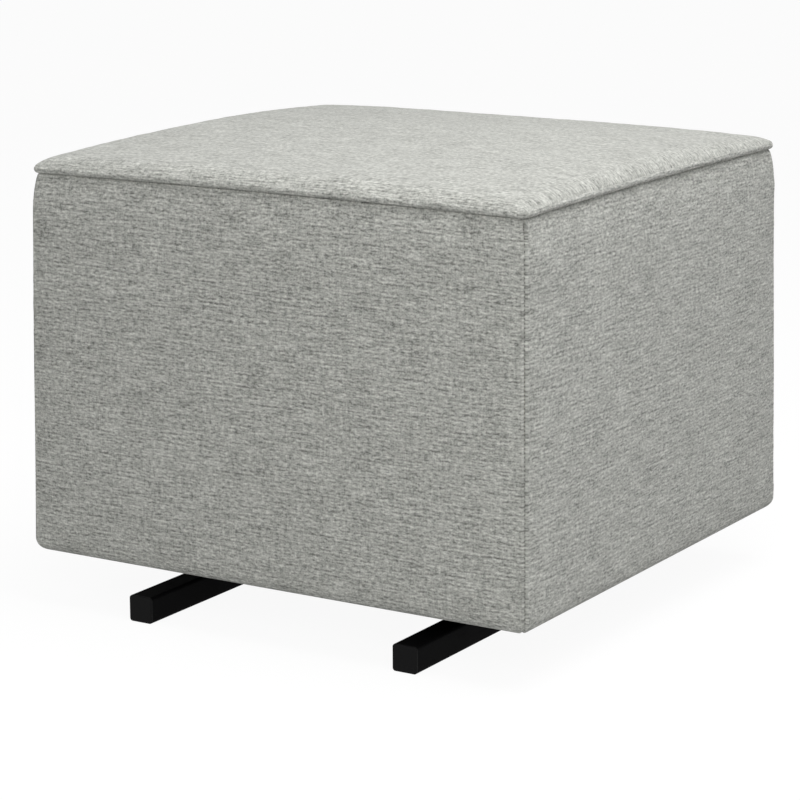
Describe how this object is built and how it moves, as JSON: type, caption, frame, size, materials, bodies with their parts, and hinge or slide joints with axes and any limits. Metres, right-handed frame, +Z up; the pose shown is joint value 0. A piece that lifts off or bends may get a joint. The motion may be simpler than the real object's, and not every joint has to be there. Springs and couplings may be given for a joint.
{
  "type": "glider ottoman",
  "caption": "Square upholstered gliding footstool: a crowned, welted fabric box hung on swinging links over two black square-tube runners.",
  "frame": {"origin": "on the floor, under the middle of the runners and of the body at rest", "axes": "+Z up; -Y is the front, which the runners' ends show past; the body glides along Y; +X is the right-hand side seen from the front"},
  "size_m": [0.52, 0.498, 0.4339],
  "materials": {
    "powder_coat": "satin",
    "cap_plastic": "matte",
    "link_coat": "satin",
    "zinc_plate": "satin",
    "nylon": "satin",
    "rubber": "matte",
    "timber": "matte",
    "plywood": "matte",
    "hardboard": "matte",
    "foam": "matte",
    "wadding": "matte",
    "grey_fabric": "matte",
    "black_cloth": "matte"
  },
  "bodies": {
    "base_frame": {"runner_left": "powder_coat", "runner_right": "powder_coat", "runner_end_caps": "cap_plastic", "post_front_left": "powder_coat", "post_front_right": "powder_coat", "post_rear_left": "powder_coat", "post_rear_right": "powder_coat", "post_caps": "cap_plastic", "cross_tube_front": "powder_coat", "cross_tube_rear": "powder_coat", "tie_bar_left": "powder_coat", "tie_bar_right": "powder_coat", "top_cross_tube": "powder_coat", "upper_pivot_bolts": "zinc_plate", "upper_pivot_nuts": "zinc_plate", "pivot_spacers": "zinc_plate"},
    "front_left_link": {"link_front_left": "link_coat", "bushes_front_left": "nylon"},
    "front_right_link": {"link_front_right": "link_coat", "bushes_front_right": "nylon"},
    "rear_left_link": {"link_rear_left": "link_coat", "bushes_rear_left": "nylon"},
    "rear_right_link": {"link_rear_right": "link_coat", "bushes_rear_right": "nylon"},
    "seat_box": {"carrier_left": "link_coat", "carrier_right": "link_coat", "lower_pivot_bolts": "zinc_plate", "lower_pivot_nuts": "zinc_plate", "stop_bumpers": "rubber", "carrier_screws": "zinc_plate", "bottom_rail_front": "timber", "bottom_rail_rear": "timber", "bottom_rail_left": "timber", "bottom_rail_right": "timber", "top_rail_front": "timber", "top_rail_rear": "timber", "top_rail_left": "timber", "top_rail_right": "timber", "corner_block_front_left": "timber", "corner_block_front_right": "timber", "corner_block_rear_left": "timber", "corner_block_rear_right": "timber", "deck_board": "plywood", "side_board_front": "hardboard", "side_board_rear": "hardboard", "side_board_left": "hardboard", "side_board_right": "hardboard", "padding_front": "foam", "padding_rear": "foam", "padding_left": "foam", "padding_right": "foam", "seat_foam": "foam", "top_wadding": "wadding", "cover_top": "grey_fabric", "cover_front": "grey_fabric", "cover_rear": "grey_fabric", "cover_left": "grey_fabric", "cover_right": "grey_fabric", "welt_cord": "grey_fabric", "dust_cover": "black_cloth"}
  },
  "joints": [
    {"name": "front_left_swing", "type": "hinge", "parent": "base_frame", "child": "front_left_link", "pos_m": [-0.1655, -0.125, 0.24], "axis": [1, 0, 0], "range_deg": [-24, 24]},
    {"name": "front_right_swing", "type": "hinge", "parent": "base_frame", "child": "front_right_link", "pos_m": [0.1655, -0.125, 0.24], "axis": [1, 0, 0], "range_deg": [-24, 24]},
    {"name": "rear_left_swing", "type": "hinge", "parent": "base_frame", "child": "rear_left_link", "pos_m": [-0.1655, 0.125, 0.24], "axis": [1, 0, 0], "range_deg": [-24, 24]},
    {"name": "rear_right_swing", "type": "hinge", "parent": "base_frame", "child": "rear_right_link", "pos_m": [0.1655, 0.125, 0.24], "axis": [1, 0, 0], "range_deg": [-24, 24]},
    {"name": "seat_level", "type": "hinge", "parent": "front_left_link", "child": "seat_box", "pos_m": [-0.1655, -0.125, 0.1], "axis": [1, 0, 0], "range_deg": [-24, 24]}
  ],
  "couplings": [
    {"joint": "front_right_swing", "follows": "front_left_swing", "ratio": 1},
    {"joint": "rear_left_swing", "follows": "front_left_swing", "ratio": 1},
    {"joint": "rear_right_swing", "follows": "front_left_swing", "ratio": 1},
    {"joint": "seat_level", "follows": "front_left_swing", "ratio": -1}
  ]
}
